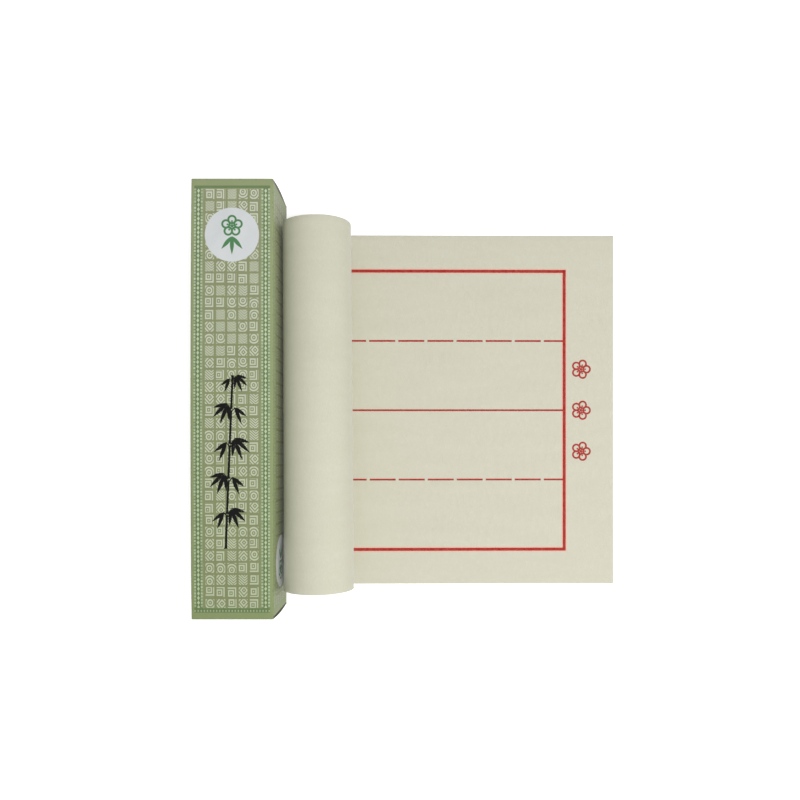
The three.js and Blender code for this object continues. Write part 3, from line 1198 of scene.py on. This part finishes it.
def add_flap(name, corners, rounded, radius, placing, properties):
    """A flap cut from board in the XY plane, some of its corners rounded, then placed by a matrix.

    The printed side faces up before it is placed. Tongues and dust flaps are made this way.
    """
    flap = add_skin(name, (1, 1), (0, 0, 0))
    by_turn = sorted(flap.data.vertices, key=lambda vertex: math.atan2(vertex.co.y, vertex.co.x))
    for vertex, corner in zip(by_turn, corners):
        vertex.co = (*corner, 0)
    with edit_mode(flap):
        chosen = [Vector((*corners[index], 0)) for index in rounded]
        pick(flap, "verts", lambda vertex: any((vertex.co - c).length < TOUCH for c in chosen))
        bpy.ops.mesh.bevel(offset=radius, segments=6, affect="VERTICES")
    make_board(flap, 0, flap_board(properties.print), properties)
    flap.data.transform(placing)
    return flap


class FELTMAT_OT_add_tongues(bpy.types.Operator):
    """Add the tuck tongue of each lid"""

    bl_idname = "felt_mat.add_tongues"
    bl_label = "Tuck Tongues"

    def execute(self, context):
        properties = context.scene.felt_mat
        carton = properties.carton
        half = (TONGUE_HIGH.x - TONGUE_LOW.x) / 2
        hinge = HINGE["top_tongue_hinge"]
        reach = math.hypot(TONGUE_HIGH.z - hinge.z, hinge.y - TONGUE_LOW.y)
        start = carton.crease_slit
        corners = ((-half, -reach), (half, -reach), (half, -start), (-half, -start))
        for end, turn in (("top", 0), ("bottom", math.pi)):
            placing = (
                Matrix.Translation(HINGE[f"{end}_tongue_hinge"])
                @ Matrix.Rotation(turn, 4, "Z")
                @ Matrix.Rotation(-TONGUE_TILT, 4, "X")
                @ Matrix.Rotation(math.pi, 4, "Y")
            )
            name = f"{end}_tongue_board"
            tongue = add_flap(name, corners, (0, 1), carton.tongue_round, placing, properties)
            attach(tongue, f"{end}_tongue")
            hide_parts(f"{end}_tuck_tongue")
        return {"FINISHED"}


def add_dust_flap(end, hand, facing, inward, properties):
    """A flap with one rounded and one slanted corner, on the crease of a side panel."""
    carton = properties.carton
    hinge = HINGE["top_dust_left_hinge"]
    reach = DUST_HIGH.x - hinge.x
    low, high = DUST_LOW.z - hinge.z, DUST_HIGH.z - hinge.z
    start = carton.crease_slit
    corners = ((start, low), (reach, low), (reach, high - reach + start), (start, high))
    rounded = (1,)
    if inward * facing > 0:
        corners = tuple((-corners[index][0], corners[index][1]) for index in (1, 0, 3, 2))
        rounded = (0,)
    placing = (
        Matrix.Translation(HINGE[f"{end}_dust_{hand}_hinge"])
        @ Matrix.Rotation(0 if facing < 0 else math.pi, 4, "Z")
        @ Matrix.Rotation(math.pi / 2, 4, "X")
    )
    name = f"{end}_dust_{hand}_board"
    flap = add_flap(name, corners, rounded, carton.dust_round, placing, properties)
    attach(flap, f"{end}_dust_{hand}")
    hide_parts(f"{end}_dust_flap_{hand}")


def add_crease(end, hand, facing, inward, properties):
    """The ply that runs on from the side panel to its flap, across the inside of the crease."""
    carton, ink = properties.carton, properties.print
    hinge = HINGE[f"{end}_dust_{hand}_hinge"]
    inner = carton.board / 2 + PLY_PROUD * carton.crease_ply
    on_panel = hinge + Vector((inward * inner, -facing * carton.crease_reach, 0))
    on_flap = hinge + Vector((inward * carton.crease_reach, -facing * inner, 0))
    low, high = DUST_LOW.z, DUST_HIGH.z - carton.crease_reach
    middle = (on_panel + on_flap) / 2
    crease = add_skin(
        f"{end}_crease_{hand}",
        ((on_flap - on_panel).length, high - low),
        (middle.x, middle.y, (low + high) / 2),
        (math.pi / 2, 0, math.atan2(-inward, -facing)),
    )
    materials = board_materials(flap_board(ink), ink)
    thicken(crease, carton.crease_ply, -1, carton.crease_ply / 5, materials)
    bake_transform(crease)


class FELTMAT_OT_add_dust_flaps(bpy.types.Operator):
    """Add the two dust flaps under each lid"""

    bl_idname = "felt_mat.add_dust_flaps"
    bl_label = "Dust Flaps"

    def execute(self, context):
        properties = context.scene.felt_mat
        for end, facing in (("top", 1), ("bottom", -1)):
            for hand, inward in (("left", 1), ("right", -1)):
                add_dust_flap(end, hand, facing, inward, properties)
                add_crease(end, hand, facing, inward, properties)
        return {"FINISHED"}


class FELTMAT_PT_set(bpy.types.Panel):
    """The felt mat's pieces and their sizes"""

    bl_idname = "FELTMAT_PT_set"
    bl_label = "Felt Mat and Carton"
    bl_space_type = "VIEW_3D"
    bl_region_type = "UI"
    bl_category = "Felt Mat"

    def draw(self, context):
        layout = self.layout
        for operator in OPERATORS:
            layout.operator(operator.bl_idname)
        for name in FeltMatProperties.__annotations__:
            group = getattr(context.scene.felt_mat, name)
            box = layout.box()
            for key in group.__annotations__:
                box.prop(group, key)


PROPERTY_GROUPS = (
    SheetProperties,
    RulingProperties,
    CartonProperties,
    PrintProperties,
    StageProperties,
    FeltMatProperties,
)
OPERATORS = (
    FELTMAT_OT_add_stage,
    FELTMAT_OT_add_sheet,
    FELTMAT_OT_add_sleeve,
    FELTMAT_OT_add_lids,
    FELTMAT_OT_add_tongues,
    FELTMAT_OT_add_dust_flaps,
)


def register():
    for item in (*PROPERTY_GROUPS, *OPERATORS, FELTMAT_PT_set):
        bpy.utils.register_class(item)
    bpy.types.Scene.felt_mat = PointerProperty(
        type=FeltMatProperties, name="Felt Mat", description="Sizes and colours of the set"
    )


def unregister():
    del bpy.types.Scene.felt_mat
    for item in reversed((*PROPERTY_GROUPS, *OPERATORS, FELTMAT_PT_set)):
        bpy.utils.unregister_class(item)


def main():
    register()
    bpy.ops.felt_mat.add_stage()
    bpy.ops.felt_mat.add_sheet()
    bpy.ops.felt_mat.add_sleeve()
    bpy.ops.felt_mat.add_lids()
    bpy.ops.felt_mat.add_tongues()
    bpy.ops.felt_mat.add_dust_flaps()
    visual_box = [list(corner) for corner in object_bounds()]


if __name__ == "__main__":
    main()
